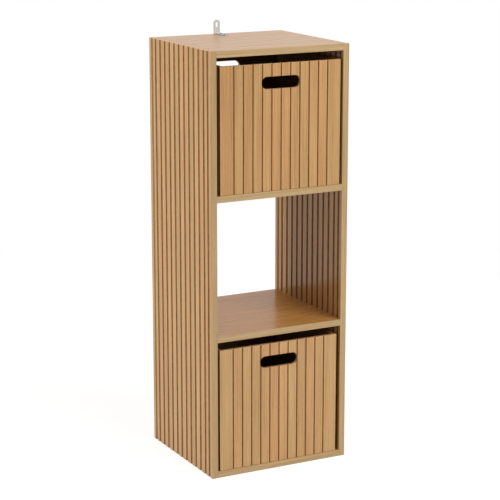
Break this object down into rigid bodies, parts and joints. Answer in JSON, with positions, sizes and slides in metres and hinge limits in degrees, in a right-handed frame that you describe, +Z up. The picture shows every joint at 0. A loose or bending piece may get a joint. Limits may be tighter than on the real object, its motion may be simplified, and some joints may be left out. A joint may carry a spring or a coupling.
{
  "type": "open shelf cabinet",
  "caption": "Tall narrow open shelf cabinet with grooved wood-look sides, stacked compartments, loose pull-out boxes with handle slots, and a wall bracket on top.",
  "frame": {"origin": "middle of the cabinet's footprint, on the floor", "axes": "+Z up, +X to the right seen from the front, front faces -Y"},
  "size_m": [0.35, 0.32, 1.013],
  "materials": {
    "oak_foil_board": "light oak decor foil on fibreboard, satin, with upright grooves on the side boards",
    "oak_foil_box_board": "light oak decor foil on thin fibreboard, satin, with upright grooves on front and back",
    "oak_edge_band": "oak-print edging strip, satin",
    "beech_dowel": "bare fluted beech",
    "cast_zinc": "raw die-cast zinc alloy",
    "plated_steel": "bright zinc-plated steel",
    "zinc_plated_bracket": "zinc-plated pressed steel"
  },
  "bodies": {
    "cabinet": {"left_side_panel": "oak_foil_board", "right_side_panel": "oak_foil_board", "bottom_panel": "oak_foil_board", "lower_shelf": "oak_foil_board", "upper_shelf": "oak_foil_board", "top_panel": "oak_foil_board", "left_side_edge_bands": "oak_edge_band", "right_side_edge_bands": "oak_edge_band", "bottom_panel_edge_bands": "oak_edge_band", "lower_shelf_edge_bands": "oak_edge_band", "upper_shelf_edge_bands": "oak_edge_band", "top_panel_edge_bands": "oak_edge_band", "cam_locks": "cast_zinc", "cam_bolts": "plated_steel", "cabinet_dowels": "beech_dowel", "wall_bracket": "zinc_plated_bracket", "bracket_screws": "plated_steel"},
    "upper_box": {"upper_box_front": "oak_foil_box_board", "upper_box_back": "oak_foil_box_board", "upper_box_left_wall": "oak_foil_box_board", "upper_box_right_wall": "oak_foil_box_board", "upper_box_floor": "oak_foil_box_board", "upper_box_dowels": "beech_dowel"},
    "lower_box": {"lower_box_front": "oak_foil_box_board", "lower_box_back": "oak_foil_box_board", "lower_box_left_wall": "oak_foil_box_board", "lower_box_right_wall": "oak_foil_box_board", "lower_box_floor": "oak_foil_box_board", "lower_box_dowels": "beech_dowel"}
  },
  "joints": [
    {"name": "upper_box_slide", "type": "slide", "parent": "cabinet", "child": "upper_box", "axis": [0, -1, 0], "range_m": [0, 0.32]},
    {"name": "lower_box_slide", "type": "slide", "parent": "cabinet", "child": "lower_box", "axis": [0, -1, 0], "range_m": [0, 0.32]}
  ]
}
